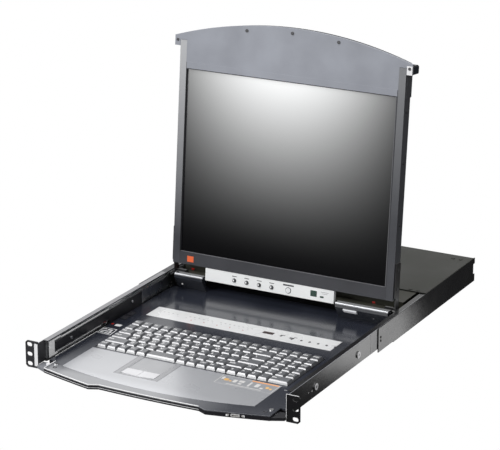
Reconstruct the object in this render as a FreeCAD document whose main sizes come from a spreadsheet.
"""Rackmount LCD console drawer, in millimetres.

X runs to the right, Y back into the rack and Z up. The origin is on the front plane of the rack
ears, midway between them and at the middle of the 1U height.
"""
import FreeCAD
import Part
import Sketcher
import math
import os
from types import SimpleNamespace

doc = FreeCAD.newDocument("console_drawer")
sheet = doc.addObject("Spreadsheet::Sheet", "Sizes")

# Driving dimensions: alias, value, meaning
SIZES = [
    ("ear_hole_half", 232.55, "rack hole from the middle"),
    ("ear_hole_pitch", 15.875, "rack hole pitch"),
    ("ear_slot_long", 10.0, "slot length"),
    ("ear_slot_wide", 6.8, "slot width"),
    ("ear_margin", 7.45, "outer edge of the ear from the rack holes"),
    ("ear_low", -22.0, "bottom of the ear and of the rear box"),
    ("ear_top", 22.0, "top of the ear"),
    ("ear_thick", 2.0, "ear plate"),
    ("rail_set", 13.55, "outer face of the rail channel inside the rack holes"),
    ("rail_wall", 1.6, "rail sheet"),
    ("rail_low", -15.0, "bottom of the rail channel"),
    ("rail_top", 19.5, "top of the rail channel"),
    ("rail_long", 486.0, "length of the rail channel"),
    ("rail_flange", 8.6, "width of its top flange"),
    ("rail_foot", 6.0, "width of its bottom flange"),
    ("rail_open", 18.0, "where the top flange starts"),
    ("rail_screw_y", 92.0, "first rail screw"),
    ("rail_screw_step", 146.0, "second rail screw behind the first"),
    ("rail_screw_z", 0.5, "height of the rail screws"),
    ("slide_z", 2.25, "mid height of the slides"),
    ("slide_front", 22.0, "front end of the outer slide member"),
    ("slide_back", 482.0, "back end of the outer slide member"),
    ("slide_inset", 18.0, "other members start this much further back"),
    ("slide_half", 15.0, "half height of the outer slide member"),
    ("slide_metal", 1.2, "slide sheet"),
    ("slide_gap", 0.8, "gap between the webs"),
    ("ball_outer", 3.0, "ball of the outer race"),
    ("ball_inner", 1.8, "ball of the inner race"),
    ("ball_play", 0.05, "clearance of a ball on each side"),
    ("cage_long", 150.0, "length of a ball cage"),
    ("cage_outer_y", 128.0, "front end of the outer cage"),
    ("cage_inner_y", 184.0, "front end of the inner cage"),
    ("box_front", 309.0, "front edge of the rear side walls"),
    ("box_floor_front", 365.0, "front edge of the rear floor"),
    ("box_back", 690.0, "back of the rear box"),
    ("box_wall", 1.6, "rear side wall"),
    ("box_floor", 1.2, "rear floor"),
    ("box_step", 1.4, "side walls end this much higher before the floor starts"),
    ("box_tab", 6.0, "tabs behind the back edge"),
    ("cover_front", 490.0, "front edge of the top cover"),
    ("cover_top", 21.0, "top of the rear cover"),
    ("cover_thick", 1.2, "top cover sheet"),
    ("cover_ledge", 24.0, "ledge that the cover is screwed to"),
    ("panel_set", 4.4, "rear panel in front of the back edge"),
    ("panel_thick", 1.6, "rear panel sheet"),
    ("deck_z", -12.0, "top of the deck"),
    ("deck_thick", 2.0, "deck cover"),
    ("deck_gap", 9.4, "edge of the deck inside the rail face"),
    ("nose_in", 11.6, "deck narrower on each side in front of the ears"),
    ("nose_step", 20.0, "where the deck widens"),
    ("nose_side", -13.0, "front end of the side of the nose"),
    ("shoulder_half", 102.0, "half width between the shoulders"),
    ("shoulder_y", -37.5, "front of the shoulders"),
    ("grip_half", 87.0, "half width of the finger recess"),
    ("grip_y", -30.4, "ends of the finger recess"),
    ("grip_mid", -32.4, "middle of the finger recess"),
    ("deck_back", 430.0, "back edge of the deck"),
    ("tray_low", -20.2, "underside of the tray"),
    ("tray_sheet", 1.2, "tray sheet"),
    ("tray_back", 484.0, "back of the tray"),
    ("wing_front", 42.0, "front end of the upper side wall"),
    ("wing_foot", 200.0, "where the upper side wall reaches the tray"),
    ("wing_back", 302.0, "back end of the upper side wall"),
    ("wing_half", 7.2, "half height of the upper side wall"),
    ("keys_in_left", 34.6, "key block from the left edge of the deck"),
    ("keys_in_right", 42.6, "key block from the right edge of the deck"),
    ("keys_front", 101.5, "front edge of the key block"),
    ("key_row", 20.6, "key pitch front to back"),
    ("key_gap", 1.2, "gap between key skirts"),
    ("key_taper", 2.4, "slope of a key side"),
    ("key_top", -7.8, "top of the keys"),
    ("key_skirt", -13.0, "bottom of the key skirts"),
    ("key_stem", 4.6, "key stem width"),
    ("stem_play", 0.3, "clearance of a stem in its hole"),
    ("stem_low", -16.8, "end of a key stem"),
    ("plate_top", -16.3, "top of the key plate"),
    ("plate_thick", 1.2, "key plate"),
    ("well_margin", 1.6, "clearance round the key block"),
    ("palm_out_left", 2.0, "palm rest beyond the keys on the left"),
    ("palm_in_right", 6.4, "palm rest inside the keys on the right"),
    ("palm_back", 95.4, "back edge of the palm rest"),
    ("palm_corner", 8.0, "front corners of the palm rest"),
    ("palm_front", -15.6, "front middle of the palm rest"),
    ("palm_sink", 1.0, "palm rest below the deck"),
    ("palm_proud", 0.3, "palm rest above the deck"),
    ("pad_left", -82.5, "left edge of the touchpad"),
    ("pad_right", -24.5, "right edge of the touchpad"),
    ("pad_front", 47.5, "front edge of the touchpad"),
    ("pad_back", 96.0, "back edge of the touchpad"),
    ("pad_gap", 0.5, "gap round the touchpad and its buttons"),
    ("tap_front", 27.5, "front edge of the touchpad buttons"),
    ("tap_bow", 2.6, "bow of their front edge"),
    ("tap_proud", 0.5, "buttons above the palm rest"),
    ("tap_travel", 0.6, "travel of the touchpad buttons"),
    ("strip_out_left", 3.0, "status strip beyond the keys on the left"),
    ("strip_in_right", 7.0, "status strip inside the keys on the right"),
    ("strip_front", 260.0, "front edge of the status strip"),
    ("strip_back", 303.0, "back edge of the status strip"),
    ("strip_sink", 0.8, "status strip below the deck"),
    ("strip_proud", 0.4, "status strip above the deck"),
    ("side_key_in", 2.6, "deck buttons from the left edge of the deck"),
    ("side_key_wide", 11.0, "width of a deck button"),
    ("side_key_front", 225.0, "front edge of the first deck button"),
    ("side_key_long", 16.0, "length of a deck button"),
    ("side_key_step", 19.0, "second deck button behind the first"),
    ("side_key_proud", 1.2, "deck buttons above the deck"),
    ("side_key_travel", 0.8, "travel of a deck button"),
    ("board_top", -14.6, "top of the drawer board"),
    ("board_thick", 1.6, "circuit board"),
    ("hinge_y", 408.0, "hinge axis"),
    ("hinge_z", 12.0, "hinge axis height"),
    ("pin_d", 7.0, "hinge pin"),
    ("pin_play", 0.05, "hinge pin clearance in the arm"),
    ("pin_head_d", 11.0, "hinge pin head"),
    ("pin_head", 1.4, "hinge pin head thickness"),
    ("eye_d", 14.6, "eye of the hinge bracket"),
    ("barrel_d", 13.0, "barrel of the hinge arm"),
    ("bracket_wide", 13.4, "width of the hinge bracket"),
    ("bracket_set", 10.2, "outer face of the hinge bracket from the deck edge"),
    ("bracket_front", 406.0, "front of the bracket foot"),
    ("bracket_back", 417.0, "back of the bracket foot"),
    ("barrel_gap", 0.2, "hinge arm barrel from the bracket"),
    ("hood_front", 388.5, "front face of the hinge covers"),
    ("hood_back", 399.8, "back edge of their top"),
    ("hood_top", 17.5, "top of the hinge covers"),
    ("hood_foot", 403.0, "foot of the front face"),
    ("hood_wall", 1.8, "hinge cover wall"),
    ("hood_set", 10.6, "outer end of the hinge covers from the deck edge"),
    ("hood_left_in", 145.0, "inner end of the left one"),
    ("hood_right_in", 104.0, "inner end of the right one"),
    ("hood_nose", 3.5, "rounding of their top front edge"),
    ("latch_left", 119.0, "left edge of the release latch"),
    ("latch_wide", 24.0, "width of the latch"),
    ("latch_low", 2.5, "bottom of the latch"),
    ("latch_high", 6.5, "height of the latch"),
    ("latch_gap", 0.4, "clearance round the latch"),
    ("latch_proud", 1.0, "latch in front of the cover"),
    ("latch_travel", 2.5, "travel of the latch"),
    ("shelf_front", 421.0, "front edge of the rear plate"),
    ("shelf_top", 9.2, "top of the rear plate"),
    ("shelf_in", 9.6, "rear plate narrower than the deck on each side"),
    ("lcd_y", 394.04, "bottom front edge of the display"),
    ("lcd_z", 35.02, "height of that edge"),
    ("lcd_tilt", 5.19, "lean of the display in degrees"),
    ("lcd_in", 5.0, "display narrower than the deck on each side"),
    ("lcd_deep", 21.0, "display thickness"),
    ("side_wide", 12.2, "width of a side rail"),
    ("side_high", 380.0, "height of a side rail"),
    ("side_wall", 2.0, "side rail wall"),
    ("bezel_high", 344.0, "top edge of the bezel"),
    ("bezel_thick", 2.2, "bezel plate"),
    ("glass_in", 15.0, "visible screen from the side of the display"),
    ("glass_low", 22.3, "bottom edge of the screen"),
    ("glass_high", 332.5, "top edge of the screen"),
    ("glass_rim", 1.0, "panel behind the bezel on each side"),
    ("glass_deep", 10.0, "LCD panel thickness"),
    ("arch_out", 10.4, "arched top beyond the side of the display"),
    ("arch_end", 387.0, "ends of the arch"),
    ("arch_top", 420.8, "top of the arch"),
    ("arch_lip", 4.0, "depth of the lip along the arch"),
    ("tab_low", 370.0, "bottom of the end tabs"),
    ("back_wall", 1.6, "display back cover wall"),
    ("back_shy", 8.0, "back cover inside the arch"),
    ("cap_set", 6.6, "inner face of the corner caps inside the side of the display"),
    ("cap_high", 384.6, "top of the corner caps"),
    ("cap_front", 4.2, "front of the corner caps"),
    ("cap_back", 24.0, "back of the corner caps"),
    ("cap_round", 6.0, "rounding of their top back edge"),
    ("sleeve_low", 331.0, "bottom of the sleeve under each cap"),
    ("sleeve_back", 23.2, "back edge of the sleeve"),
    ("sleeve_thick", 0.8, "sleeve on the outside of the side rail"),
    ("arm_thick", 2.0, "hinge arm plate"),
    ("arm_high", 62.0, "top of the hinge arm plate"),
    ("arm_front", 2.0, "front edge of the hinge arm plate"),
    ("arm_back", 19.5, "back edge of the hinge arm plate"),
    ("arm_gap", 0.1, "hinge arm clear of the display side"),
    ("osd_left", -141.0, "left end of the control strip"),
    ("osd_right", 99.6, "right end of the control strip"),
    ("osd_low", -22.0, "bottom edge of the control strip"),
    ("osd_high", -0.6, "top edge of the control strip"),
    ("osd_wall", 1.6, "control strip wall"),
    ("osd_deep", 7.0, "control strip depth"),
    ("osd_row", -13.3, "height of the buttons on the strip"),
    ("osd_first", -85.5, "first round button"),
    ("osd_step", 23.45, "button pitch"),
    ("osd_power", 16.1, "power button"),
    ("osd_button_d", 6.6, "round button"),
    ("osd_power_d", 8.4, "power button"),
    ("osd_hole_gap", 0.3, "clearance round a button"),
    ("osd_proud", 1.4, "buttons in front of the strip"),
    ("osd_travel", 0.7, "travel of a round button"),
    ("switch_gap", 0.9, "button stem to its switch"),
    ("stack_gap", 0.3, "running clearance at a stop"),
    ("rocker_lean", 8.0, "lean of the mains rocker at either end, in degrees"),
    ("port_x", 147.0, "middle of the front socket"),
    ("port_y", -26.9, "front wall at the front socket"),
    ("port_turn", 14.3, "turn of the front wall there, in degrees"),
    ("port_wide", 13.0, "front socket"),
    ("port_high", 4.6, "front socket"),
    ("port_deep", 9.0, "front socket"),
    ("port_post_x", 11.0, "posts beside the front socket"),
    ("port_post_d", 3.0, "posts beside the front socket"),
    ("port_gap", 0.1, "clearance of the front socket in the wall"),
    ("wing_screw_front", 44.0, "first screw behind the front end of the side wall"),
    ("wing_screw_back", 30.0, "second screw in front of its back end"),
    ("supply_set", 11.0, "power supply from the side wall"),
    ("supply_wide", 90.0, "width of the power supply"),
    ("supply_front", 185.0, "front of the power supply from the back of the box"),
    ("supply_long", 150.0, "length of the power supply"),
    ("supply_high", 32.0, "height of the power supply"),
    ("supply_wall", 1.2, "sheet of the power supply case"),
    ("board_in_left", 18.0, "control board from the power supply"),
    ("board_in_right", 89.0, "control board from the right side wall"),
    ("board_front", 130.0, "front of the control board from the back of the box"),
    ("board_long", 116.0, "length of the control board"),
    ("inlet_set", 14.0, "mains inlet from the left side wall"),
    ("inlet_wide", 60.0, "width of the mains inlet"),
    ("cover_screw_in", 30.6, "inner cover screws from the side of the box"),
    ("cover_screw_out", 16.6, "outer cover screws from the side of the box"),
    ("post_in", 39.6, "posts of the back cover inside the edge of the screen"),
]
key_columns = 19


class Size:
    """A length that carries its number and the sheet formula that it comes from."""

    def __init__(self, number, formula=None):
        self.number = float(number)
        self.formula = formula or f"({self.number!r})"

    def __add__(self, other):
        other = as_size(other)
        return Size(self.number + other.number, f"({self.formula} + {other.formula})")

    def __sub__(self, other):
        other = as_size(other)
        return Size(self.number - other.number, f"({self.formula} - {other.formula})")

    def __mul__(self, other):
        other = as_size(other)
        return Size(self.number * other.number, f"({self.formula} * {other.formula})")

    def __truediv__(self, other):
        other = as_size(other)
        return Size(self.number / other.number, f"({self.formula} / {other.formula})")

    def __neg__(self):
        return Size(-self.number, f"(-{self.formula})")

    def __radd__(self, other):
        return as_size(other) + self

    def __rsub__(self, other):
        return as_size(other) - self

    def __rmul__(self, other):
        return as_size(other) * self


def as_size(value):
    """Gives a bare number the same form as a size of the sheet."""
    return value if isinstance(value, Size) else Size(value)


def read_sheet():
    """Fills the sheet and returns its cells as sizes."""
    cells = SimpleNamespace()
    for row, (alias, value, meaning) in enumerate(SIZES, 1):
        sheet.set(f"A{row}", meaning)
        sheet.set(f"B{row}", str(value))
        sheet.setAlias(f"B{row}", alias)
        setattr(cells, alias, Size(value, f"Sizes.{alias}"))
    doc.recompute()
    return cells


s = read_sheet()

# Widths that follow from others, out from the middle
s.ear_half = s.ear_hole_half + s.ear_margin
s.rail_half = s.ear_hole_half - s.rail_set
s.deck_half = s.rail_half - s.deck_gap
s.nose_half = s.deck_half - s.nose_in
s.keys_left = s.keys_in_left - s.deck_half
s.key_unit = (s.deck_half * 2 - s.keys_in_left - s.keys_in_right) / key_columns
keys_right = s.keys_left + s.key_unit * key_columns
s.palm_left = s.keys_left - s.palm_out_left
s.palm_right = keys_right - s.palm_in_right
s.strip_left = s.keys_left - s.strip_out_left
s.strip_right = keys_right - s.strip_in_right
s.side_key_left = s.side_key_in - s.deck_half
s.bracket_out = s.deck_half - s.bracket_set
s.bracket_in = s.bracket_out - s.bracket_wide
s.arm_in = s.bracket_out + s.barrel_gap
s.hood_out = s.deck_half - s.hood_set
s.shelf_half = s.deck_half - s.shelf_in
s.lcd_half = s.deck_half - s.lcd_in
s.glass_half = s.lcd_half - s.glass_in
s.arch_half = s.lcd_half + s.arch_out
s.cap_in = s.lcd_half - s.cap_set
nodes = {}


# Helpers for primitives

def bind(obj, path, value):
    """Binds one property of an object to a size."""
    obj.setExpression(path, as_size(value).formula)


def put(obj, x, y, z):
    """Binds the place of an object."""
    bind(obj, "Placement.Base.x", x)
    bind(obj, "Placement.Base.y", y)
    bind(obj, "Placement.Base.z", z)


def box(name, x, y, z):
    """A box between two sizes on each axis."""
    solid = doc.addObject("Part::Box", name)
    bind(solid, "Length", as_size(x[1]) - x[0])
    bind(solid, "Width", as_size(y[1]) - y[0])
    bind(solid, "Height", as_size(z[1]) - z[0])
    put(solid, x[0], y[0], z[0])
    return solid


TURNS = {
    "x": FreeCAD.Rotation(FreeCAD.Vector(0, 1, 0), 90),
    "y": FreeCAD.Rotation(FreeCAD.Vector(1, 0, 0), -90),
    "z": FreeCAD.Rotation(),
}


def rod(name, axis, low, high, across, diameter):
    """A cylinder along an axis from low to high; across gives its place on the other two axes."""
    solid = doc.addObject("Part::Cylinder", name)
    solid.Placement = FreeCAD.Placement(FreeCAD.Vector(), TURNS[axis])
    bind(solid, "Radius", as_size(diameter) / 2)
    bind(solid, "Height", as_size(high) - low)
    place = {"x": (low, *across), "y": (across[0], low, across[1]), "z": (*across, low)}[axis]
    put(solid, *place)
    return solid


def ball(name, x, y, z, diameter):
    """A steel ball."""
    solid = doc.addObject("Part::Sphere", name)
    bind(solid, "Radius", as_size(diameter) / 2)
    put(solid, x, y, z)
    return solid


def group(name, parts):
    """Separate solids in one object."""
    made = doc.addObject("Part::Compound", name)
    made.Links = parts
    return made


def fuse(name, parts):
    """One solid from several."""
    made = doc.addObject("Part::MultiFuse", name)
    made.Shapes = parts
    made.Refine = True
    return made


def cut(name, base, tools):
    """A solid without its tools."""
    made = doc.addObject("Part::Cut", name)
    made.Base = base
    made.Tool = tools[0] if len(tools) == 1 else group(name + "_tools", tools)
    return made


def mirror(name, source):
    """The left piece that mirrors a right one."""
    made = doc.addObject("Part::Mirroring", name)
    made.Source = source
    made.Normal = FreeCAD.Vector(1, 0, 0)
    return made


def node(name, obj):
    """Names a finished sub-part."""
    obj.Label = name
    nodes[name] = obj
    return obj


def pair(name, right):
    """Keeps a right piece and its mirrored left one."""
    node(name + "_right", right)
    node(name + "_left", mirror(name + "_left_part", right))


# Helpers for sketched bodies

class Bow:
    """The middle point of an arc between the outline points before and after it."""

    def __init__(self, x, y):
        self.x = x
        self.y = y


def vec(point):
    """A sketch point as a vector."""
    return FreeCAD.Vector(as_size(point[0]).number, as_size(point[1]).number, 0)


def hold(sketch, geometry, position, point):
    """Ties a sketch point to two sizes, measured from the sketch origin."""
    axes = (("DistanceX", -2, point[0]), ("DistanceY", -1, point[1]))
    for kind, axis, value in axes:
        value = as_size(value)
        if value.number == 0:
            sketch.addConstraint(Sketcher.Constraint("PointOnObject", geometry, position, axis))
            continue
        index = sketch.addConstraint(
            Sketcher.Constraint(kind, -1, 1, geometry, position, value.number)
        )
        sketch.setExpression(f"Constraints[{index}]", value.formula)


def outline_sketch(sketch, path):
    """Draws a closed outline of lines and arcs and ties each of its points to the sheet."""
    corners = [point for point in path if not isinstance(point, Bow)]
    ends = []
    where = 0
    for index, corner in enumerate(corners):
        after = corners[(index + 1) % len(corners)]
        where += 1
        bow = path[where] if where < len(path) and isinstance(path[where], Bow) else None
        first, last = vec(corner), vec(after)
        if bow is None:
            line = sketch.addGeometry(Part.LineSegment(first, last), False)
            ends.append((line, 1, 2))
            continue
        where += 1
        middle = vec((bow.x, bow.y))
        arc = sketch.addGeometry(Part.Arc(first, middle, last), False)
        start = 1 if sketch.getPoint(arc, 1).distanceToPoint(first) < 1e-6 else 2
        ends.append((arc, start, 3 - start))
        mark = sketch.addGeometry(Part.Point(middle), True)
        sketch.addConstraint(Sketcher.Constraint("PointOnObject", mark, 1, arc))
        hold(sketch, mark, 1, (bow.x, bow.y))
    for index, corner in enumerate(corners):
        geometry, start, _ = ends[index]
        before, _, finish = ends[index - 1]
        sketch.addConstraint(Sketcher.Constraint("Coincident", before, finish, geometry, start))
        hold(sketch, geometry, start, corner)


def pad(name, plane, path, low, high):
    """A body padded from an outline, from low to high along the plane's own row axis."""
    body = doc.addObject("PartDesign::Body", name)
    sketch = body.newObject("Sketcher::SketchObject", name + "_outline")
    origin = [feature for feature in body.Origin.OriginFeatures if feature.Role == plane + "_Plane"]
    sketch.AttachmentSupport = (origin[0], "")
    sketch.MapMode = "FlatFace"
    backward = plane == "XZ"
    bind(sketch, "AttachmentOffset.Base.z", -as_size(low) if backward else low)
    outline_sketch(sketch, path)
    feature = body.newObject("PartDesign::Pad", name + "_pad")
    feature.Profile = sketch
    feature.Reversed = backward
    bind(feature, "Length", as_size(high) - low)
    body.Tip = feature
    return body


def rectangle(x, y):
    """The four corners of a rectangle."""
    return [(x[0], y[0]), (x[1], y[0]), (x[1], y[1]), (x[0], y[1])]


# Rack side: brackets and slides

rail_in = s.rail_half - s.rail_wall


def slot(name, x, z):
    """A slotted rack hole through an ear."""
    half = (s.ear_slot_long - s.ear_slot_wide) / 2
    through = (-s.ear_thick, s.ear_thick * 2)
    middle = box(name + "_mid", (x - half, x + half), through,
                 (z - s.ear_slot_wide / 2, z + s.ear_slot_wide / 2))
    ends = [rod(f"{name}_{side}", "y", *through, (x + half * side, z), s.ear_slot_wide)
            for side in (-1, 1)]
    return fuse(name, [middle, *ends])


def rack_brackets():
    """The folded rail channel with its slotted ear."""
    top_in = s.rail_half - s.rail_flange
    foot_in = s.rail_half - s.rail_foot
    web = box("rail_web", (rail_in, s.rail_half), (0, s.rail_long), (s.rail_low, s.rail_top))
    top = box("rail_top_flange", (top_in, s.rail_half), (s.rail_open, s.rail_long),
              (s.rail_top - s.rail_wall, s.rail_top))
    foot = box("rail_foot_flange", (foot_in, s.rail_half), (s.rail_open, s.rail_long),
               (s.rail_low, s.rail_low + s.rail_wall))
    corner = s.ear_slot_wide / 2
    ear = pad("ear_plate", "XZ", [
        (rail_in, s.ear_low), (s.ear_half - corner, s.ear_low), (s.ear_half, s.ear_low + corner),
        (s.ear_half, s.ear_top - corner), (s.ear_half - corner, s.ear_top), (rail_in, s.ear_top)],
        0, s.ear_thick)
    holes = [slot(f"ear_slot_{row}", s.ear_hole_half, s.ear_hole_pitch * (row - 1)) for row in range(3)]
    holes += [rod(f"rail_hole_{index}", "x", rail_in - s.rail_wall, s.rail_half + s.rail_wall,
                  (s.rail_screw_y + s.rail_screw_step * index, s.rail_screw_z), screw_hole)
              for index in range(2)]
    pair("rack_bracket", cut("rack_bracket_right_part", fuse("bracket_blank", [web, top, foot, ear]), holes))


screw_d = as_size(4.0)
screw_hole = screw_d + 0.2


def channel(name, outer_x, half, reach, low, high):
    """A C channel with its web at outer_x and flanges that reach in to reach."""
    web_in = outer_x - s.slide_metal
    edge = half - s.slide_metal
    return pad(name, "XZ", [
        (outer_x, s.slide_z - half), (outer_x, s.slide_z + half), (reach, s.slide_z + half),
        (reach, s.slide_z + edge), (web_in, s.slide_z + edge), (web_in, s.slide_z - edge),
        (reach, s.slide_z - edge), (reach, s.slide_z - half)], low, high)


middle_x = rail_in - s.slide_metal - s.slide_gap
inner_x = middle_x - s.slide_metal - s.slide_gap
inner_face = inner_x - s.slide_metal
race_outer = s.ball_outer + s.ball_play * 2
race_inner = s.ball_inner + s.ball_play * 2
middle_half = s.slide_half - s.slide_metal - race_outer
inner_half = middle_half - s.slide_metal - race_inner
flange_edge = inner_face + 0.4
member_front = s.slide_front + s.slide_inset
ball_count = 8


def slides():
    """Outer, middle and inner members of the telescopic slides."""
    outer = channel("slide_outer_blank", rail_in, s.slide_half, flange_edge, s.slide_front, s.slide_back)
    holes = [rod(f"slide_hole_{index}", "x", rail_in - s.slide_metal * 2, rail_in + s.slide_metal,
                 (s.rail_screw_y + s.rail_screw_step * index, s.rail_screw_z), screw_hole)
             for index in range(2)]
    pair("slide_outer", cut("slide_outer_right_part", outer, holes))
    right = channel("slide_middle_right", middle_x, middle_half, flange_edge, member_front, s.slide_back)
    node("slide_middle", group("slide_middle_part", [right, mirror("slide_middle_left", right)]))
    tip = inner_x - 0.2
    edge = inner_half - s.slide_metal
    web_out = inner_face + s.slide_metal
    blank = pad("slide_inner_blank", "XZ", [
        (inner_face, s.slide_z - inner_half), (tip + s.slide_metal / 3, s.slide_z - inner_half),
        (tip + s.slide_metal / 3, s.slide_z - edge), (web_out, s.slide_z - edge),
        (web_out, s.slide_z + edge), (tip + s.slide_metal / 3, s.slide_z + edge),
        (tip + s.slide_metal / 3, s.slide_z + inner_half), (inner_face, s.slide_z + inner_half)],
        member_front, s.slide_back)
    holes = wing_holes("slide_wing_hole", inner_face - 1.0, inner_x + 1.0)
    right = cut("slide_inner_right", blank, holes)
    node("slide_inner", group("slide_inner_part", [right, mirror("slide_inner_left", right)]))


def cage(name, front, ball_x, ball_z, diameter, web_x):
    """A ball cage: two strips joined by a thin web, with a ball in each pocket."""
    strip = diameter / 3
    wide = diameter * 0.42
    back = front + s.cage_long
    parts = [box(f"{name}_web", web_x, (front, back), (s.slide_z - ball_z, s.slide_z + ball_z))]
    balls = []
    pockets = []
    pitch = s.cage_long / ball_count
    for side in (-1, 1):
        centre = s.slide_z + ball_z * side
        parts.append(box(f"{name}_strip_{side + 1}", (ball_x - wide, web_x[1]), (front, back),
                         (centre - strip / 2, centre + strip / 2)))
        for index in range(ball_count):
            along = front + pitch * (index + 0.5)
            balls.append(ball(f"{name}_ball_{side + 1}_{index}", ball_x, along, centre, diameter))
            pockets.append(ball(f"{name}_pocket_{side + 1}_{index}", ball_x, along, centre,
                                diameter + s.ball_play * 2))
    strips = cut(f"{name}_strips", fuse(f"{name}_blank", parts), pockets)
    return [strips, *balls]


def ball_cages():
    """Both cages of both slides."""
    web_gap = s.slide_gap / 4
    outer_web = (middle_x + web_gap, middle_x + s.slide_gap - web_gap)
    outer_z = middle_half + race_outer / 2
    outer_ball_x = (flange_edge + rail_in - s.slide_metal) / 2
    right = group("cage_outer_right", cage("cage_outer", s.cage_outer_y, outer_ball_x, outer_z,
                                           s.ball_outer, outer_web))
    node("ball_cages_outer", group("cages_outer", [right, mirror("cage_outer_left", right)]))
    inner_web = (inner_x + web_gap + 0.15, inner_x + s.slide_gap - web_gap)
    inner_z = inner_half + race_inner / 2
    inner_ball_x = inner_x - s.ball_inner / 2 + 0.65
    right = group("cage_inner_right", cage("cage_inner", s.cage_inner_y, inner_ball_x, inner_z,
                                           s.ball_inner, inner_web))
    node("ball_cages_inner", group("cages_inner", [right, mirror("cage_inner_left", right)]))


# Rear box

box_half = s.rail_half + s.box_wall
cover_low = s.cover_top - s.cover_thick
panel_back = s.box_back - s.panel_set
panel_front = panel_back - s.panel_thick
floor_top = s.ear_low + s.box_floor
screw_head_d = as_size(6.4)
screw_head = as_size(1.6)
small_screw_d = as_size(3.0)
small_screw_hole = small_screw_d + 0.2
cover_screw_x = (box_half - s.cover_screw_in, box_half - s.cover_screw_out)
cover_screw_set = as_size(6.0)


def chassis_base():
    """The folded floor and side walls, with ledges for the cover."""
    wall_low = s.ear_low + s.box_step
    floor = box("base_floor", (-box_half, box_half), (s.box_floor_front, s.box_back), (s.ear_low, floor_top))
    parts = [floor]
    for side, sign in (("left", -1), ("right", 1)):
        outer, inner = box_half * sign, s.rail_half * sign
        x = (outer, inner) if sign < 0 else (inner, outer)
        parts.append(box(f"base_wall_{side}", x, (s.box_front, s.box_back), (wall_low, cover_low)))
        parts.append(box(f"base_skirt_{side}", x, (s.box_floor_front, s.box_back), (s.ear_low, wall_low)))
        for level, z in (("low", (s.ear_low, s.ear_low + 13.0)), ("top", (cover_low - 10.0, cover_low))):
            parts.append(box(f"base_tab_{level}_{side}", x, (s.box_back, s.box_back + s.box_tab), z))
        ledge_in = (box_half - s.cover_ledge) * sign
        ledge = (outer, ledge_in) if sign < 0 else (ledge_in, outer)
        parts.append(box(f"base_ledge_{side}", ledge, (s.cover_front, panel_front),
                         (cover_low - s.cover_thick, cover_low)))
    holes = cover_holes("base", cover_low - s.cover_thick * 2, cover_low + s.cover_thick)
    for sign in (-1, 1):
        for index, y in enumerate(wall_screw_y):
            low = s.rail_half - s.box_wall if sign > 0 else -box_half - s.box_wall
            holes.append(rod(f"base_wall_hole_{sign + 1}_{index}", "x", low, low + s.box_wall * 3,
                             (y, wall_screw_z[index]), small_screw_hole))
    node("chassis_base", cut("chassis_base_part", fuse("base_blank", parts), holes))


wall_screw_y = (s.box_front + 8.0, s.box_front + 8.0)
wall_screw_z = (as_size(-3.0), as_size(3.0))


def cover_places():
    """Where the cover screws are, as x and y."""
    rows = (s.cover_front + cover_screw_set, panel_front - cover_screw_set * 2)
    return [(as_size(x) * sign, y) for sign in (-1, 1) for x in cover_screw_x for y in rows]


def cover_holes(name, low, high):
    """Clearance holes for the cover screws."""
    return [rod(f"{name}_cover_hole_{index}", "z", low, high, place, small_screw_hole)
            for index, place in enumerate(cover_places())]


def rear_cover():
    """The flat lid of the rear box with its front lip."""
    lid = box("cover_lid", (-box_half, box_half), (s.cover_front, s.box_back), (cover_low, s.cover_top))
    lip_half = box_half - s.cover_ledge - s.cover_thick
    lip = box("cover_lip", (-lip_half, lip_half), (s.cover_front, s.cover_front + s.cover_thick),
              (cover_low - 8.0, cover_low))
    blank = fuse("cover_blank", [lid, lip])
    node("rear_cover", cut("rear_cover_part", blank, cover_holes("lid", cover_low - 1.0, s.cover_top + 1.0)))


inlet_left = s.inlet_set - s.rail_half
inlet_x = (inlet_left, inlet_left + s.inlet_wide)
inlet_z = (-15.0, 13.0)
inlet_mid_z = as_size(-1.0)
plug_x = (inlet_left + 4.0, inlet_left + 32.0)
plug_z = (-11.0, 9.0)
rocker_x = (inlet_left + 40.0, inlet_left + 54.0)
rocker_z = (-10.5, 8.5)
inlet_deep = as_size(24.0)
inlet_flange = as_size(1.6)
socket_places = (-70.0, 10.0)
socket_wide = as_size(31.0)
socket_high = as_size(12.4)
socket_deep = as_size(20.0)
socket_z = as_size(-6.0)
socket_hole_wide = as_size(18.0)
socket_hole_high = as_size(8.4)
net_x = (80.0, 96.0)
net_high = socket_high
net_deep = as_size(18.0)
net_wall = as_size(1.2)
board_rise = as_size(6.0)


def rear_panel():
    """The rear plate with its cut-outs."""
    plate = box("panel_plate", (-s.rail_half, s.rail_half), (panel_front, panel_back),
                (floor_top, cover_low - s.cover_thick))
    through = (panel_front - 1.0, panel_back + 1.0)
    module = box("panel_module_hole", (inlet_x[0] + 2.0, inlet_x[1] - 2.0), through,
                 (inlet_z[0] + 2.0, inlet_z[1] - 2.0))
    holes = [module]
    for index, x in enumerate(socket_places):
        holes.append(box(f"panel_socket_{index}", (x - socket_wide / 2, x + socket_wide / 2), through,
                         (socket_z - socket_high / 2, socket_z + socket_high / 2)))
    holes.append(box("panel_net", net_x, through, (socket_z - net_high / 2, socket_z + net_high / 2)))
    node("rear_panel", cut("rear_panel_part", plate, holes))


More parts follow.
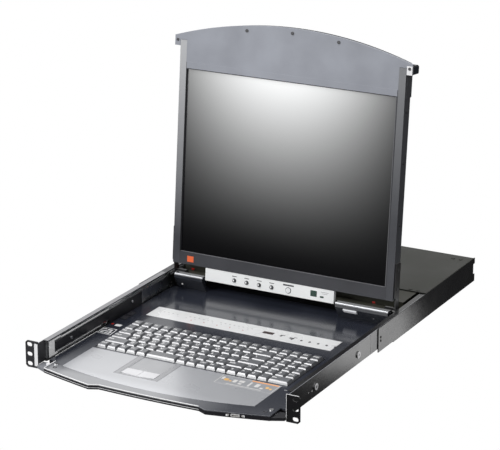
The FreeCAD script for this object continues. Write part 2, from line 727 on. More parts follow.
def mains_inlet():
    """A panel module with the inlet cavity, its blades and the pocket of the rocker."""
    flange = box("inlet_flange", inlet_x, (panel_back, panel_back + inlet_flange), inlet_z)
    body = box("inlet_body", (inlet_x[0] + 2.5, inlet_x[1] - 2.5), (panel_back - inlet_deep, panel_back),
               (inlet_z[0] + 2.5, inlet_z[1] - 2.5))
    mouth = panel_back + inlet_flange * 2
    cavity = box("inlet_cavity", plug_x, (mouth - inlet_deep + 4.0, mouth), plug_z)
    pocket = box("rocker_pocket", rocker_x, (mouth - inlet_deep + 6.0, mouth), rocker_z)
    pivot = rod("rocker_bore", "x", as_size(rocker_x[0]) - 2.0, as_size(rocker_x[1]) + 2.0,
                (rocker_axis_y, inlet_mid_z), rocker_pin_d + 0.1)
    shell = cut("inlet_shell", fuse("inlet_blank", [flange, body]), [cavity, pocket])
    shell = cut("inlet_bored", shell, [pivot])
    blade_back = mouth - inlet_deep + 4.0
    blades = [box(f"inlet_blade_{index}", (x - 0.8, x + 0.8), (blade_back, blade_back + 8.0), (z - 2.0, z + 2.0))
              for index, (x, z) in enumerate(((inlet_left + 11.0, -4.0), (inlet_left + 18.0, 3.0),
                                              (inlet_left + 25.0, -4.0)))]
    node("mains_inlet", group("mains_inlet_part", [shell, *blades]))


rocker_pin_d = as_size(3.0)
rocker_axis_y = panel_back - 4.0


def mains_switch():
    """The rocker of the mains switch, with its two stub pins."""
    gap = as_size(0.5)
    front = panel_back + inlet_flange - rocker_axis_y
    side = (as_size(rocker_x[0]) + gap, as_size(rocker_x[1]) - gap)
    half = (as_size(rocker_z[1]) - rocker_z[0]) / 2 - gap * 2
    cap = pad("rocker_cap", "YZ", [
        (-2.5, -half + 3.0), (front - 1.0, -half), (front + 1.2, -half + 0.6),
        (front - 0.6, 0), (front + 1.2, half - 0.6), (front - 1.0, half),
        (-2.5, half - 3.0)], *side)
    pin = rod("rocker_pin", "x", side[0] - 2.0, side[1] + 2.0, (0, 0), rocker_pin_d)
    made = group("mains_switch_part", [fuse("rocker", [cap, pin])])
    made.Placement = FreeCAD.Placement(FreeCAD.Vector(), FreeCAD.Rotation(FreeCAD.Vector(1, 0, 0), 1))
    bind(made, "Placement.Rotation.Angle", s.rocker_lean)
    put(made, 0, rocker_axis_y, inlet_mid_z)
    node("mains_switch", made)


def rear_sockets():
    """Two wide signal sockets and one square network socket, on the edge of the board."""
    parts = []
    mouth = panel_back + 5.0
    for index, x in enumerate(socket_places):
        x = as_size(x)
        plate = box(f"socket_plate_{index}", (x - socket_wide / 2 + 0.2, x + socket_wide / 2 - 0.2),
                    (mouth - socket_deep, panel_back + 0.6),
                    (socket_z - socket_high / 2 + 0.2, socket_z + socket_high / 2 - 0.2))
        half, high = socket_hole_wide / 2, socket_hole_high / 2
        shell = pad(f"socket_shell_{index}", "XZ", [
            (x - half + 1.6, socket_z - high - 0.6), (x + half - 1.6, socket_z - high - 0.6),
            (x + half + 0.6, socket_z + high + 0.6), (x - half - 0.6, socket_z + high + 0.6)],
            panel_back, mouth)
        hollow = pad(f"socket_hollow_{index}", "XZ", [
            (x - half + 2.2, socket_z - high), (x + half - 2.2, socket_z - high),
            (x + half, socket_z + high), (x - half, socket_z + high)], mouth - 7.0, mouth + 1.0)
        posts = [rod(f"socket_post_{index}_{side + 1}", "y", panel_back, mouth,
                     (x + (half + 3.4) * side, socket_z), as_size(4.6)) for side in (-1, 1)]
        parts.append(cut(f"socket_{index}", fuse(f"socket_blank_{index}", [plate, shell, *posts]), [hollow]))
    low_x, high_x = as_size(net_x[0]) + 0.2, as_size(net_x[1]) - 0.2
    low_z, high_z = socket_z - net_high / 2 + 0.2, socket_z + net_high / 2 - 0.2
    case = box("net_case", (low_x, high_x), (panel_back - net_deep, panel_back + 0.8), (low_z, high_z))
    hollow = box("net_hollow", (low_x + net_wall, high_x - net_wall), (panel_back - net_deep + 5.0, panel_back + 2.0),
                 (low_z + net_wall, high_z - net_wall))
    parts.append(cut("net_socket", case, [hollow]))
    node("rear_sockets", group("rear_sockets_part", parts))


supply_left = s.supply_set - s.rail_half
supply_y = (s.box_back - s.supply_front, s.box_back - s.supply_front + s.supply_long)
board_x = (supply_left + s.supply_wide + s.board_in_left, s.rail_half - s.board_in_right)
board_y = (s.box_back - s.board_front, s.box_back - s.board_front + s.board_long)
board_low = socket_z - socket_high / 2 + 0.2 - s.board_thick


def control_board():
    """The main circuit board on its standoffs, with its larger chips."""
    board = box("main_board", board_x, board_y, (board_low, board_low + s.board_thick))
    foot_x, foot_y = (board_x[0] + 6.0, board_x[1] - 6.0), (board_y[0] + 6.0, board_y[1] - 8.0)
    feet = [rod(f"board_foot_{index}", "z", floor_top, board_low, (x, y), 6.0)
            for index, (x, y) in enumerate([(x, y) for x in foot_x for y in foot_y])]
    left, front = board_x[0], board_y[0]
    blocks = (((left + 40.0, left + 64.0), (front + 40.0, front + 64.0), 2.0),
              ((left + 120.0, left + 156.0), (front + 30.0, front + 66.0), 2.6),
              ((left + 184.0, left + 204.0), (front + 24.0, front + 36.0), 8.0),
              ((left + 80.0, left + 106.0), (front + 80.0, front + 92.0), 4.0))
    chips = [box(f"main_chip_{index}", x, y, (board_low + s.board_thick, board_low + s.board_thick + rise))
             for index, (x, y, rise) in enumerate(blocks)]
    node("control_board", fuse("control_board_part", [board, *feet, *chips]))


def power_supply():
    """The power supply in its vented case."""
    wall = s.supply_wall
    x = (supply_left, supply_left + s.supply_wide)
    y = supply_y
    z = (floor_top, floor_top + s.supply_high)
    case = box("supply_case", x, y, z)
    inside = box("supply_inside", (x[0] + wall, x[1] - wall), (y[0] + wall, y[1] - wall), (z[0] + wall, z[1] - wall))
    vent_x = (x[0] + 18.0, x[1] - 18.0)
    vents = [box(f"supply_vent_{index}", vent_x, (y[0] + 15.0 + 12.0 * index, y[0] + 19.0 + 12.0 * index),
                 (z[1] - wall * 2, z[1] + wall)) for index in range(10)]
    shell = cut("supply_shell", cut("supply_hollow", case, [inside]), vents)
    core = box("supply_core", vent_x, (y[0] + 55.0, y[1] - 25.0), (z[0] + wall, z[1] - 10.0))
    node("power_supply", group("power_supply_part", [shell, core]))


def screw(name, axis, face, out, place, head_d, head, shank_d, shank):
    """A screw with a flat round head on a face, and its shank behind it; out is the head's side."""
    head_span = (face, face + head) if out > 0 else (face - head, face)
    shank_span = (face - shank, face) if out > 0 else (face, face + shank)
    parts = [rod(name + "_head", axis, *head_span, place, head_d),
             rod(name + "_shank", axis, *shank_span, place, shank_d)]
    return fuse(name, parts)


def fixed_screws():
    """The silver rail screws and the small dark screws of the rear box."""
    silver = []
    for sign in (-1, 1):
        for index in range(2):
            place = (s.rail_screw_y + s.rail_screw_step * index, s.rail_screw_z)
            face = s.rail_half if sign > 0 else -s.rail_half
            silver.append(screw(f"rail_screw_{sign + 1}_{index}", "x", face, sign, place,
                                as_size(11.0), as_size(1.8), screw_d, s.rail_wall + s.slide_metal + 0.2))
    node("rail_screws", group("rail_screws_part", silver))
    small = [screw(f"cover_screw_{index}", "z", s.cover_top, 1, place, screw_head_d, screw_head / 2,
                   small_screw_d, s.cover_thick * 2 + 1.0) for index, place in enumerate(cover_places())]
    for sign in (-1, 1):
        for index, y in enumerate(wall_screw_y):
            face = box_half if sign > 0 else -box_half
            small.append(screw(f"wall_screw_{sign + 1}_{index}", "x", face, sign, (y, wall_screw_z[index]),
                               as_size(4.0), as_size(0.6), small_screw_d, s.box_wall))
    node("cover_screws", group("cover_screws_part", small))


# Drawer: tray, deck and keyboard

tray_floor = s.tray_low + s.tray_sheet
deck_low = s.deck_z - s.deck_thick
wing_out = inner_face
wing_in = wing_out - s.tray_sheet


wing_screw_y = (s.wing_front + s.wing_screw_front, s.wing_back - s.wing_screw_back)


def wing_holes(name, low, high):
    """Holes for the screws that join the side walls to the inner slide members."""
    return [rod(f"{name}_{index}", "x", low, high, (y, s.slide_z), small_screw_hole)
            for index, y in enumerate(wing_screw_y)]


def nose_path(inset, back):
    """The plan outline of the tray and deck: bowed front with a finger recess, widened behind the ears."""
    wide = s.deck_half - inset
    narrow = s.nose_half - inset
    step = s.nose_step + inset
    side = s.nose_side + inset
    shoulder = s.shoulder_half
    bow_x, bow_y = (s.nose_half + s.shoulder_half) / 2, (s.nose_side + s.shoulder_y) / 2 - 0.8
    front = s.shoulder_y + inset
    grip_y = s.grip_y + inset
    return [
        (wide, step), (wide, back), (-wide, back), (-wide, step), (-narrow, step), (-narrow, side),
        Bow(-bow_x, bow_y + inset), (-shoulder, front), (-s.grip_half, grip_y),
        Bow(0, s.grip_mid + inset), (s.grip_half, grip_y), (shoulder, front),
        Bow(bow_x, bow_y + inset), (narrow, side), (narrow, step)]


def tray_pan():
    """The folded sheet tray with its raised side walls that the slides are screwed to."""
    blank = pad("tray_blank", "XY", nose_path(0, s.tray_back), s.tray_low, deck_low)
    inside = pad("tray_inside", "XY", nose_path(s.tray_sheet, s.tray_back - s.tray_sheet),
                 tray_floor, deck_low + 1.0)
    pan = cut("tray_open", blank, [inside])
    wall_top = s.slide_z + s.wing_half
    parts = [pan]
    for side, sign in (("left", -1), ("right", 1)):
        def span(low, high):
            return (low, high) if sign > 0 else (-high, -low)
        parts.append(box(f"wing_step_{side}", span(s.deck_half - s.tray_sheet, wing_out),
                         (s.wing_foot, s.wing_back), (s.tray_low, tray_floor)))
        parts.append(box(f"wing_foot_{side}", span(wing_in, wing_out), (s.wing_foot, s.wing_back),
                         (s.tray_low, wall_top)))
        parts.append(box(f"wing_{side}", span(wing_in, wing_out), (s.wing_front, s.wing_back),
                         (s.slide_z - s.wing_half, wall_top)))
    window = at_port("tray_port_hole", port_solids("tray_port", s.port_gap, -4.0, 4.0))
    holes = wing_holes("tray_hole_right", wing_in - 1.0, wing_out + 1.0)
    holes += wing_holes("tray_hole_left", -wing_out - 1.0, -wing_in + 1.0)
    node("tray_pan", cut("tray_pan_part", fuse("tray_joined", parts), [window, *holes]))


port_mid_z = tray_floor + 0.4 + s.port_high / 2


def port_solids(name, grow, low, high):
    """The outside of the front socket and of its posts, with the front wall on Y = 0."""
    half, rise = s.port_wide / 2 + grow, s.port_high / 2 + grow
    case = box(name + "_case", (-half, half), (low, high), (port_mid_z - rise, port_mid_z + rise))
    posts = [rod(f"{name}_post_{side + 1}", "y", low, 4.0,
                 (s.port_post_x * side, port_mid_z), s.port_post_d + grow * 2) for side in (-1, 1)]
    return [case, *posts]


def at_port(name, parts):
    """Turns finished pieces to the sloping front wall and sets them on it."""
    made = group(name, parts)
    made.Placement = FreeCAD.Placement(FreeCAD.Vector(), FreeCAD.Rotation(FreeCAD.Vector(0, 0, 1), 1))
    bind(made, "Placement.Rotation.Angle", s.port_turn)
    put(made, s.port_x, s.port_y, 0)
    return made


def front_socket():
    """The small socket in the right front wall, with a post on each side."""
    case, *posts = port_solids("port", as_size(0), -0.8, s.port_deep)
    wall = as_size(0.6)
    half, rise = s.port_wide / 2 - wall, s.port_high / 2 - wall
    hollow = box("port_hollow", (-half, half), (-2.0, s.port_deep - 2.0), (port_mid_z - rise, port_mid_z + rise))
    tongue = box("port_tongue", (-half + 1.5, half - 1.5), (1.5, s.port_deep - 1.0),
                 (port_mid_z - 0.4, port_mid_z + 0.4))
    plate = box("port_plate", (-s.port_post_x - 3.0, s.port_post_x + 3.0), (s.tray_sheet + 0.3, 3.0),
                (port_mid_z - 2.6, port_mid_z + 1.6))
    inside = box("port_inside", (-half, half), (-2.0, 4.0), (port_mid_z - rise, port_mid_z + rise))
    shell = fuse("port_shell", [cut("port_open", case, [hollow]), cut("port_flange", plate, [inside]), *posts])
    node("front_socket", at_port("front_socket_part", [fuse("front_socket_solid", [shell, tongue])]))


# Key widths of each row in key units, from the front row to the function row
KEY_ROWS = (
    [1, 1, 1, 1, 1, 3, 1, 1, 1, 1, 1, 1, 1, 1, 1, 2],
    [2.25, 1, 1, 1, 1, 1, 1, 1, 1, 1, 1, 1.75, 1, 1, 1, 1, 1],
    [1.75, 1, 1, 1, 1, 1, 1, 1, 1, 1, 1, 1, 2.25, 1, 1, 1, 1],
    [1.5, 1, 1, 1, 1, 1, 1, 1, 1, 1, 1, 1, 1, 1.5, 1, 1, 1, 1],
    [1, 1, 1, 1, 1, 1, 1, 1, 1, 1, 1, 1, 1, 2, 1, 1, 1, 1],
    [1] * 19,
)
keys_back = s.keys_front + s.key_row * len(KEY_ROWS)


def key_places():
    """Each key as row, left edge and width."""
    for row, widths in enumerate(KEY_ROWS):
        left = s.keys_left
        for wide in widths:
            yield row, left, s.key_unit * wide
            left = left + s.key_unit * wide


def keyboard():
    """Six rows of keys with stems in the holes of the key plate."""
    rows = [[] for _ in KEY_ROWS]
    holes = []
    for index, (row, left, wide) in enumerate(key_places()):
        front = s.keys_front + s.key_row * row
        x = (left + s.key_gap / 2, left + wide - s.key_gap / 2)
        y = (front + s.key_gap / 2, front + s.key_row - s.key_gap / 2)
        cap = doc.addObject("Part::Wedge", f"key_cap_{index}")
        cap.Placement = FreeCAD.Placement(
            FreeCAD.Vector(), FreeCAD.Rotation(FreeCAD.Vector(1, 0, 0), 90))
        put(cap, 0, 0, 0)
        for end, taper in (("", as_size(0)), ("2", s.key_taper)):
            bind(cap, f"X{end}min", x[0] + taper)
            bind(cap, f"X{end}max", x[1] - taper)
            bind(cap, f"Z{end}min", -(y[1] - taper / 2))
            bind(cap, f"Z{end}max", -(y[0] + taper))
        bind(cap, "Ymin", s.key_skirt)
        bind(cap, "Ymax", s.key_top)
        mid_x, mid_y, half = left + wide / 2, front + s.key_row / 2, s.key_stem / 2
        stem = box(f"key_stem_{index}", (mid_x - half, mid_x + half), (mid_y - half, mid_y + half),
                   (s.stem_low, s.key_skirt + 1.0))
        rows[row].append(fuse(f"key_{index}", [cap, stem]))
        wider = half + s.stem_play
        holes.append(box(f"stem_hole_{index}", (mid_x - wider, mid_x + wider),
                         (mid_y - wider, mid_y + wider), (s.plate_top - 2.0, s.plate_top + 1.0)))
    for row, keys in enumerate(rows):
        node(f"keys_row_{row + 1}", group(f"keys_row_{row + 1}_part", keys))
    rim = s.well_margin
    outer_x, outer_y = (s.keys_left - rim, keys_right + rim), (s.keys_front - rim, keys_back + rim)
    plate = box("plate_sheet", outer_x, outer_y, (s.plate_top - s.plate_thick, s.plate_top))
    frame = box("plate_frame", outer_x, outer_y, (tray_floor, s.plate_top))
    wall = s.plate_thick
    room = box("plate_room", (outer_x[0] + wall, outer_x[1] - wall), (outer_y[0] + wall, outer_y[1] - wall),
               (tray_floor - 1.0, s.plate_top + 1.0))
    skirt = cut("plate_skirt", frame, [room])
    node("key_plate", cut("key_plate_part", fuse("plate_blank", [plate, skirt]), holes))


def palm_path(inset):
    """The plan outline of the palm rest."""
    left, right = s.palm_left + inset, s.palm_right - inset
    middle = (s.palm_left + s.palm_right) / 2
    return [(left, s.palm_corner + inset), Bow(middle, s.palm_front + inset), (right, s.palm_corner + inset),
            (right, s.palm_back - inset), (left, s.palm_back - inset)]


pad_mid = (s.pad_left + s.pad_right) / 2
pad_window = rectangle((s.pad_left - s.pad_gap, s.pad_right + s.pad_gap),
                       (s.tap_front - s.tap_bow - s.pad_gap, s.pad_back + s.pad_gap))


def side_key_spans():
    """Front and back of the two deck buttons."""
    return [(s.side_key_front + s.side_key_step * index,
             s.side_key_front + s.side_key_step * index + s.side_key_long) for index in range(2)]


def deck_cover():
    """The moulded deck with its keyboard well and recesses."""
    blank = pad("deck_blank", "XY", nose_path(0, s.deck_back), deck_low, s.deck_z)
    rim = s.well_margin
    through = (deck_low - 1.0, s.deck_z + 1.0)
    well = box("deck_well", (s.keys_left - rim, keys_right + rim), (s.keys_front - rim, keys_back + rim), through)
    palm = pad("deck_palm_recess", "XY", palm_path(as_size(-0.15)), s.deck_z - s.palm_sink, s.deck_z + 1.0)
    touch = pad("deck_touch_window", "XY", pad_window, *through)
    strip = box("deck_strip_recess", (s.strip_left - 0.15, s.strip_right + 0.15),
                (s.strip_front - 0.15, s.strip_back + 0.15), (s.deck_z - s.strip_sink, s.deck_z + 1.0))
    gap = s.pad_gap
    buttons = [box(f"deck_button_hole_{index}", (s.side_key_left - gap, s.side_key_left + s.side_key_wide + gap),
                   (front - gap, back + gap), through)
               for index, (front, back) in enumerate(side_key_spans())]
    notches = []
    for side, sign in (("left", -1), ("right", 1)):
        low, high = (s.bracket_in - 1.5) * sign, (s.deck_half + 1.0) * sign
        notches.append(box(f"deck_notch_{side}", (low, high) if sign > 0 else (high, low),
                           (s.bracket_front - 2.0, s.deck_back + 1.0), through))
    screws = [rod(f"deck_screw_hole_{index}", "z", *through, place, small_screw_hole)
              for index, place in enumerate(deck_screw_places())]
    shell = cut("deck_open", blank, [well, touch, strip, *buttons, *notches, *screws])
    node("deck_cover", cut("deck_cover_part", shell, [palm]))


def deck_screw_places():
    """The two visible screws at the front corners of the deck."""
    return [((s.nose_half - 9.0) * sign, s.nose_side + 20.5) for sign in (-1, 1)]


def palm_rest():
    """The lighter panel in front of the keys, open for the touchpad."""
    blank = pad("palm_blank", "XY", palm_path(as_size(0)), s.deck_z - s.palm_sink, s.deck_z + s.palm_proud)
    window = pad("palm_window", "XY", pad_window, s.deck_z - 2.0, s.deck_z + 1.0)
    node("palm_rest", cut("palm_rest_part", blank, [window]))


def touchpad():
    """The touch plate, with the block that stands on the board under it."""
    plate = box("touch_plate", (s.pad_left, s.pad_right), (s.pad_front, s.pad_back),
                (s.board_top, s.deck_z + s.palm_proud - 0.2))
    node("touchpad", group("touchpad_part", [plate]))
    top = s.deck_z + s.palm_proud + s.tap_proud
    low = s.board_top + s.tap_travel + s.stack_gap
    half_gap = s.pad_gap / 2
    back = s.pad_front - s.pad_gap
    third = (s.pad_right - s.pad_left) / 4
    for name, left, right, front_left, front_right, sign in (
            ("left", s.pad_left, pad_mid - half_gap, s.tap_front, s.tap_front - s.tap_bow, -1),
            ("right", pad_mid + half_gap, s.pad_right, s.tap_front - s.tap_bow, s.tap_front, 1)):
        body = pad(f"touch_button_{name}_part", "XY", [
            (left, front_left), Bow(pad_mid + third * sign, s.tap_front - s.tap_bow * 0.72), (right, front_right),
            (right, back), (left, back)], low, top)
        node(f"touch_button_{name}", body)


def status_strip():
    """The pale strip behind the keys."""
    strip = box("strip_plate", (s.strip_left, s.strip_right), (s.strip_front, s.strip_back),
                (s.deck_z - s.strip_sink, s.deck_z + s.strip_proud))
    node("status_strip", group("status_strip_part", [strip]))


def deck_buttons():
    """Two small buttons at the left of the keys."""
    for index, (front, back) in enumerate(side_key_spans()):
        low = s.board_top + s.side_key_travel + s.stack_gap
        cap = pad(f"deck_button_{index + 1}_part", "XY",
                  rectangle((s.side_key_left, s.side_key_left + s.side_key_wide), (front, back)),
                  low, s.deck_z + s.side_key_proud)
        node(f"deck_button_{index + 1}", cap)


def drawer_board():
    """Touchpad board and button board, each on feet on the tray floor."""
    parts = []
    spans = (("touch", (s.pad_left - 6.0, s.pad_right + 6.0), (s.tap_front - 8.0, s.keys_front - s.well_margin - 1.0)),
             ("side", (s.side_key_left - 1.0, s.side_key_left + s.side_key_wide + 3.0),
              (s.side_key_front - 5.0, s.side_key_front + s.side_key_step + s.side_key_long + 5.0)))
    for name, x, y in spans:
        board = box(f"{name}_board", x, y, (s.board_top - s.board_thick, s.board_top))
        corners = [(x[end], y[side], 2.4 - 4.8 * end, 2.4 - 4.8 * side) for end in (0, 1) for side in (0, 1)]
        feet = [rod(f"{name}_foot_{index}", "z", tray_floor, s.board_top - s.board_thick,
                    (at_x + move_x, at_y + move_y), as_size(4.0))
                for index, (at_x, at_y, move_x, move_y) in enumerate(corners)]
        parts.append(fuse(f"{name}_board_on_feet", [board, *feet]))
    node("drawer_board", group("drawer_board_part", parts))


# Drawer: hinge side

def hood(name, x, window):
    """A hinge cover with a rounded top front edge and an undercut front face."""
    wall, nose = s.hood_wall, s.hood_nose
    top, front, back = s.hood_top, s.hood_front, s.hood_back
    bend = nose * 0.29
    outer = [(front, top - nose), Bow(front + bend, top - bend), (front + nose, top), (back, top),
             (back, top - wall), (front + nose, top - wall), (front + wall, top - nose),
             (front + wall, top - nose - 3.0), (s.hood_foot + wall, s.deck_z), (s.hood_foot, s.deck_z),
             (front, top - nose - 4.0)]
    shell = pad(name + "_shell", "YZ", outer, *x)
    solid = [(front, top - nose), Bow(front + bend, top - bend), (front + nose, top), (back, top),
             (back, top - wall), (s.hood_foot + wall, s.deck_z), (s.hood_foot, s.deck_z),
             (front, top - nose - 4.0)]
    ends = [pad(f"{name}_end_{index}", "YZ", solid, *span)
            for index, span in enumerate(((x[0], as_size(x[0]) + wall), (as_size(x[1]) - wall, x[1])))]
    body = fuse(name + "_body", [shell, *ends])
    return cut(name, body, window) if window else body


def hinge_covers():
    """The left and right covers in front of the hinges, and the release latch in the right one."""
    left = hood("hinge_cover_left_part", (-s.hood_out, -s.hood_left_in), [])
    node("hinge_cover_left", left)
    gap = s.latch_gap
    x = (s.latch_left, s.latch_left + s.latch_wide)
    z = (s.latch_low, s.latch_low + s.latch_high)
    window = box("latch_window", (x[0] - gap, x[1] + gap), (s.hood_front - 1.0, s.hood_foot + s.hood_wall + 1.0),
                 (z[0] - gap, z[1] + gap))
    node("hinge_cover_right", hood("hinge_cover_right_part", (s.hood_right_in, s.hood_out), [window]))
    face = s.hood_front - s.latch_proud
    lean = as_size(4.0)
    node("release_latch", pad("release_latch_part", "YZ", [
        (face + lean, z[0]), (s.hood_back - s.latch_travel - 1.0, z[0]),
        (s.hood_back - s.latch_travel - 1.0, z[1]), (face, z[1]), (face, z[1] - 2.0)], *x))


def hinge_brackets():
    """Steel brackets that stand on the tray and hold the hinge pins."""
    x = (s.bracket_in, s.bracket_out)
    foot = box("bracket_foot", x, (s.bracket_front, s.bracket_back), (tray_floor, s.hinge_z))
    eye = rod("bracket_eye", "x", *x, (s.hinge_y, s.hinge_z), s.eye_d)
    bore = rod("bracket_bore", "x", s.bracket_in - 1.0, s.bracket_out + 1.0, (s.hinge_y, s.hinge_z), s.pin_d)
    pair("hinge_bracket", cut("hinge_bracket_right_part", fuse("bracket_blank_2", [foot, eye]), [bore]))


arm_in = s.lcd_half + s.arm_gap
arm_out = arm_in + s.arm_thick


def hinge_pins():
    """The two hinge pins with their outer heads."""
    out = arm_out + s.arm_gap
    place = (s.hinge_y, s.hinge_z)
    pin = rod("pin_shank", "x", s.bracket_in, out, place, s.pin_d)
    head = rod("pin_head_disc", "x", out, out + s.pin_head, place, s.pin_head_d)
    right = fuse("hinge_pin_right", [pin, head])
    node("hinge_pins", group("hinge_pins_part", [right, mirror("hinge_pin_left", right)]))


def rear_shelf():
    """The folded plate over the cable space behind the hinge."""
    profile = [(-s.shelf_half, tray_floor), (-s.shelf_half + s.tray_sheet, tray_floor),
               (-s.shelf_half + s.tray_sheet, s.shelf_top - s.tray_sheet),
               (s.shelf_half - s.tray_sheet, s.shelf_top - s.tray_sheet),
               (s.shelf_half - s.tray_sheet, tray_floor), (s.shelf_half, tray_floor),
               (s.shelf_half, s.shelf_top), (-s.shelf_half, s.shelf_top)]
    front = s.deck_back + 0.4
    legs = pad("shelf_legs", "XZ", profile, front, s.tray_back - s.tray_sheet - 0.2)
    top = box("shelf_lip", (-s.shelf_half, s.shelf_half), (s.shelf_front, front + 1.0),
              (s.shelf_top - s.tray_sheet, s.shelf_top))
    node("rear_shelf", fuse("rear_shelf_part", [legs, top]))


def drawer_screws():
    """Screws of the deck corners and of the slides on the side walls."""
    parts = [screw(f"deck_screw_{index}", "z", s.deck_z, 1, place, as_size(7.0), as_size(1.2),
                   small_screw_d, s.deck_thick + 1.0) for index, place in enumerate(deck_screw_places())]
    for sign in (-1, 1):
        for index, y in enumerate(wing_screw_y):
            face = wing_in if sign > 0 else -wing_in
            parts.append(screw(f"wing_screw_{sign + 1}_{index}", "x", face, -sign, (y, s.slide_z),
                               as_size(5.0), as_size(0.8), small_screw_d, s.tray_sheet + s.slide_metal))
    node("drawer_screws", group("drawer_screws_part", parts))


# Display, drawn upright with its front face on Y = 0 and its bottom front edge at the origin

def lean_back(name, parts):
    """Leans finished display pieces back and sets them on the drawer."""
    made = group(name + "_placed", parts)
    made.Placement = FreeCAD.Placement(FreeCAD.Vector(), FreeCAD.Rotation(FreeCAD.Vector(1, 0, 0), -1))
    bind(made, "Placement.Rotation.Angle", -s.lcd_tilt)
    put(made, 0, s.lcd_y, s.lcd_z)
    return made


side_in = s.lcd_half - s.side_wide
tilt = math.radians(s.lcd_tilt.number)
axis_v = (s.hinge_z - s.lcd_z) * math.cos(tilt) + (s.hinge_y - s.lcd_y) * math.sin(tilt)
axis_w = (s.hinge_y - s.lcd_y) * math.cos(tilt) - (s.hinge_z - s.lcd_z) * math.sin(tilt)
glass_x = s.glass_half + s.glass_rim
inner_gap = as_size(0.2)


def arch_height(x):
    """Height of the arched top at a distance from the middle, on a parabola close to the arc."""
    rise = s.arch_top - s.arch_end
    return s.arch_top - rise * (x * x) / (s.arch_half * s.arch_half)


def side_rails():
    """The U shaped side members of the display."""
    wall = s.side_wall
    profile = [(side_in, 0), (s.lcd_half, 0), (s.lcd_half, s.lcd_deep), (side_in, s.lcd_deep),
               (side_in, s.lcd_deep - wall), (s.lcd_half - wall, s.lcd_deep - wall),
               (s.lcd_half - wall, wall), (side_in, wall)]
    rail = pad("side_rail_blank", "XY", profile, 0, s.side_high)
    bend = s.cap_round * 0.293
    cap = pad("corner_cap", "YZ", [
        (s.cap_front, s.tab_low), (s.cap_back, s.tab_low), (s.cap_back, s.cap_high - s.cap_round),
        Bow(s.cap_back - bend, s.cap_high - bend), (s.cap_back - s.cap_round, s.cap_high),
        (s.cap_front + 6.0, s.cap_high), (s.cap_front, s.arch_end - 1.0)], s.cap_in, s.arch_half)
    sleeve = box("side_sleeve", (s.lcd_half - s.side_wall, s.lcd_half + s.sleeve_thick),
                 (s.cap_front, s.sleeve_back), (s.sleeve_low, s.side_high))
    right = fuse("side_rail_right_part", [rail, cap, sleeve])
    node("lcd_side_rail_right", lean_back("side_rail_right", [right]))
    node("lcd_side_rail_left", lean_back("side_rail_left", [mirror("side_rail_left_part", right)]))


def bezel():
    """The flat frame round the screen."""
    plate = box("bezel_plate", (-side_in, side_in), (0, s.bezel_thick), (0, s.bezel_high))
    window = box("bezel_window", (-s.glass_half, s.glass_half), (-1, s.bezel_thick + 1), (s.glass_low, s.glass_high))
    node("lcd_bezel", lean_back("bezel", [cut("bezel_part", plate, [window])]))


def top_panel():
    """The arched panel over the screen, with its end tabs and a lip along the arch."""
    tab_in = s.lcd_half + 0.3
    shoulder = s.side_high + 0.3
    path = [(side_in, s.bezel_high), (side_in, shoulder), (tab_in, shoulder), (tab_in, s.tab_low),
            (s.arch_half, s.tab_low), (s.arch_half, s.arch_end), Bow(0, s.arch_top),
            (-s.arch_half, s.arch_end), (-s.arch_half, s.tab_low), (-tab_in, s.tab_low),
            (-tab_in, shoulder), (-side_in, shoulder), (-side_in, s.bezel_high)]
    plate = pad("arch_plate", "XZ", path, 0, s.bezel_thick)
    lip = s.bezel_thick
    band = [(s.arch_half, s.arch_end - lip), (s.arch_half, s.arch_end), Bow(0, s.arch_top),
            (-s.arch_half, s.arch_end), (-s.arch_half, s.arch_end - lip), Bow(0, s.arch_top - lip)]
    rim = pad("arch_rim", "XZ", band, 0, s.arch_lip)
    node("lcd_top_panel", lean_back("top_panel", [fuse("top_panel_part", [plate, rim])]))


def back_cover():
    """The shell behind the screen."""
    shy = s.bezel_thick + s.back_shy

    def path(inset):
        half = side_in - inset
        edge = arch_height(half) - shy - inset
        return [(half, as_size(0) + inset), (half, edge), Bow(0, s.arch_top - shy - inset),
                (-half, edge), (-half, as_size(0) + inset)]
    wall = s.back_wall
    shell = pad("back_blank", "XZ", path(as_size(0)), s.bezel_thick, s.lcd_deep)
    room = pad("back_room", "XZ", path(wall), s.bezel_thick - 1.0, s.lcd_deep - wall)
    vents = [box(f"back_vent_{index}", (-90.0, 90.0), (s.lcd_deep - wall - 1.0, s.lcd_deep + 1.0),
                 (300.0 + 7.0 * index, 303.0 + 7.0 * index)) for index in range(6)]
    post_x = s.glass_half - s.post_in
    posts = [rod(f"back_post_{index}", "y", s.bezel_thick + s.glass_deep, s.lcd_deep - wall + 0.5, (x, z),
                 as_size(8.0)) for index, (x, z) in enumerate(
                     ((-post_x, 60.0), (post_x, 60.0), (-post_x, 290.0), (post_x, 290.0)))]
    open_shell = cut("back_open", cut("back_shell", shell, [room]), vents)
    bosses = [box(f"back_boss_{index}", (x - 6.0, x + 6.0), (s.bezel_thick, s.lcd_deep - wall + 0.5),
                  (as_size(0) + wall / 2, 10.0)) for index, x in enumerate((-130.0, -30.0, 70.0))]
    node("lcd_back_cover", lean_back("back_cover", [fuse("back_cover_part", [open_shell, *posts, *bosses])]))


def lcd_panel():
    """The LCD module behind the bezel."""
    panel = box("panel_block", (-glass_x, glass_x), (s.bezel_thick, s.bezel_thick + s.glass_deep),
                (s.glass_low - s.glass_rim * 2, s.glass_high + s.glass_rim))
    node("lcd_panel", lean_back("lcd_panel", [panel]))


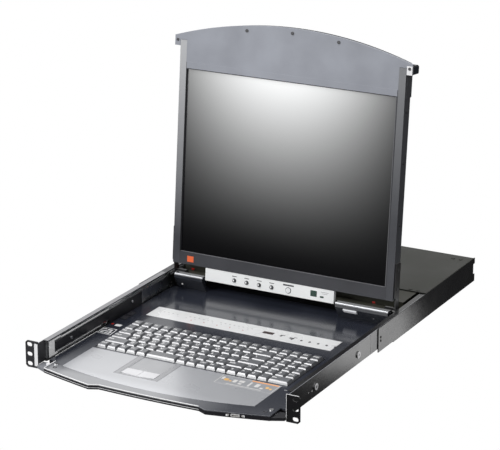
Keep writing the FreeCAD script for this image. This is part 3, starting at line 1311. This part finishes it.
def hinge_arms():
    """Side plates that carry the display on the hinge pins."""
    eye = s.barrel_d / 2
    side = [(s.arm_front, 4.0), (s.arm_back, 4.0), (s.arm_back, s.arm_high), (s.arm_front, s.arm_high)]
    plate = pad("arm_plate", "YZ", side, arm_in, arm_out)
    leg = pad("arm_leg", "YZ", [
        (axis_w - eye, axis_v), (axis_w + eye * 0.9, axis_v), (s.arm_back, 5.0), (s.arm_front + 4.0, 5.0)],
        arm_in, arm_out)
    barrel = rod("arm_barrel", "x", s.arm_in, arm_out, (axis_w, axis_v), s.barrel_d)
    bore = rod("arm_bore", "x", s.arm_in - 1.0, arm_out + 1.0, (axis_w, axis_v), s.pin_d + s.pin_play * 2)
    right = cut("hinge_arm_right_part", fuse("arm_blank", [plate, leg, barrel]), [bore])
    node("hinge_arm_right", lean_back("hinge_arm_right", [right]))
    node("hinge_arm_left", lean_back("hinge_arm_left", [mirror("hinge_arm_left_part", right)]))


def osd_buttons():
    """Name, place and diameter of each control button."""
    rows = [(f"osd_button_{index + 1}", s.osd_first + s.osd_step * index, s.osd_button_d) for index in range(4)]
    return [*rows, ("osd_power_button", s.osd_power, s.osd_power_d)]


def control_strip():
    """The pale strip under the bezel, its board and its buttons."""
    x, z = (s.osd_left, s.osd_right), (s.osd_low, s.osd_high)
    wall = s.osd_wall
    case = box("osd_case", x, (0, s.osd_deep), z)
    room = box("osd_room", (x[0] + wall, x[1] - wall), (wall, s.osd_deep + 1.0), (z[0] + wall, z[1] - wall))
    holes = [rod(f"osd_hole_{name}", "y", -1.0, wall + 1.0, (at, s.osd_row), wide + s.osd_hole_gap * 2)
             for name, at, wide in osd_buttons()]
    strip = cut("osd_panel_part", cut("osd_open", case, [room]), holes)
    node("osd_panel", lean_back("osd_panel", [strip]))
    board_front = s.osd_deep - s.board_thick
    board = box("osd_board_plate", (x[0] + wall + inner_gap, x[1] - wall - inner_gap), (board_front, s.osd_deep),
                (z[0] + wall + inner_gap, z[1] - wall - inner_gap))
    hanger = box("osd_board_hanger", (x[0] + 20.0, x[1] - 20.0), (s.osd_deep, s.osd_deep + 1.6),
                 (s.osd_row - 2.0, as_size(0)))
    node("osd_board", lean_back("osd_board", [fuse("osd_board_part", [board, hanger])]))
    for name, at, wide in osd_buttons():
        cap = rod(name + "_cap", "y", -s.osd_proud, wall, (at, s.osd_row), wide)
        rim = rod(name + "_rim", "y", wall + 0.1, wall + 1.1, (at, s.osd_row), wide + 2.0)
        neck = rod(name + "_neck", "y", wall - 0.5, wall + 0.5, (at, s.osd_row), wide)
        stem = rod(name + "_stem", "y", wall + 0.5, board_front - s.switch_gap, (at, s.osd_row), as_size(3.0))
        node(name, lean_back(name, [fuse(name + "_part", [cap, neck, rim, stem])]))


def display_screws():
    """Small screws of the arched panel, the side rails and the hinge arms."""
    parts = []
    for index, x in enumerate((-81.5, 1.5, 84.5)):
        z = arch_height(as_size(x)) - 8.0
        parts.append(rod(f"arch_screw_{index}", "y", -0.8, 0, (x, z), as_size(5.6)))
    for sign in (-1, 1):
        tab_x = (s.arch_half - 5.0) * sign
        parts.append(rod(f"tab_screw_{sign + 1}", "y", -0.8, 0, (tab_x, s.tab_low + 9.5), as_size(5.0)))
        for index, z in enumerate((123.0, 225.5, 308.5)):
            low = s.lcd_half if sign > 0 else -s.lcd_half - 0.8
            parts.append(rod(f"rail_side_screw_{sign + 1}_{index}", "x", low, low + 0.8,
                             (s.lcd_deep / 2, z), as_size(5.0)))
        for index, z in enumerate((18.0, 50.0)):
            low = arm_out if sign > 0 else -arm_out - 0.8
            parts.append(rod(f"arm_screw_{sign + 1}_{index}", "x", low, low + 0.8,
                             (s.lcd_deep / 2, z), as_size(6.0)))
    node("lcd_screws", lean_back("lcd_screws", parts))


# The whole drawer

def build():
    """Makes every sub-part."""
    rack_brackets()
    slides()
    ball_cages()
    chassis_base()
    rear_cover()
    rear_panel()
    mains_inlet()
    mains_switch()
    rear_sockets()
    control_board()
    power_supply()
    fixed_screws()
    tray_pan()
    front_socket()
    keyboard()
    deck_cover()
    palm_rest()
    touchpad()
    status_strip()
    deck_buttons()
    drawer_board()
    hinge_covers()
    hinge_brackets()
    hinge_pins()
    rear_shelf()
    drawer_screws()
    side_rails()
    bezel()
    top_panel()
    back_cover()
    lcd_panel()
    hinge_arms()
    control_strip()
    display_screws()


def check():
    """Stops before anything is written if an object failed or a shape is not sound."""
    failed = [obj.Name for obj in doc.Objects if {"Invalid", "Error"} & set(obj.State)]
    if failed:
        raise SystemExit(f"failed objects: {failed}")
    for name, obj in nodes.items():
        if obj.Shape.isNull() or not obj.Shape.isValid():
            raise SystemExit(f"bad shape: {name}")


def write():
    """Writes each sub-part to its own file."""
    os.makedirs("parts", exist_ok=True)
    for name, obj in nodes.items():
        obj.Shape.exportStep(f"parts/{name}.step")


build()
doc.recompute()
check()
write()
print(len(nodes), "sub-parts written")
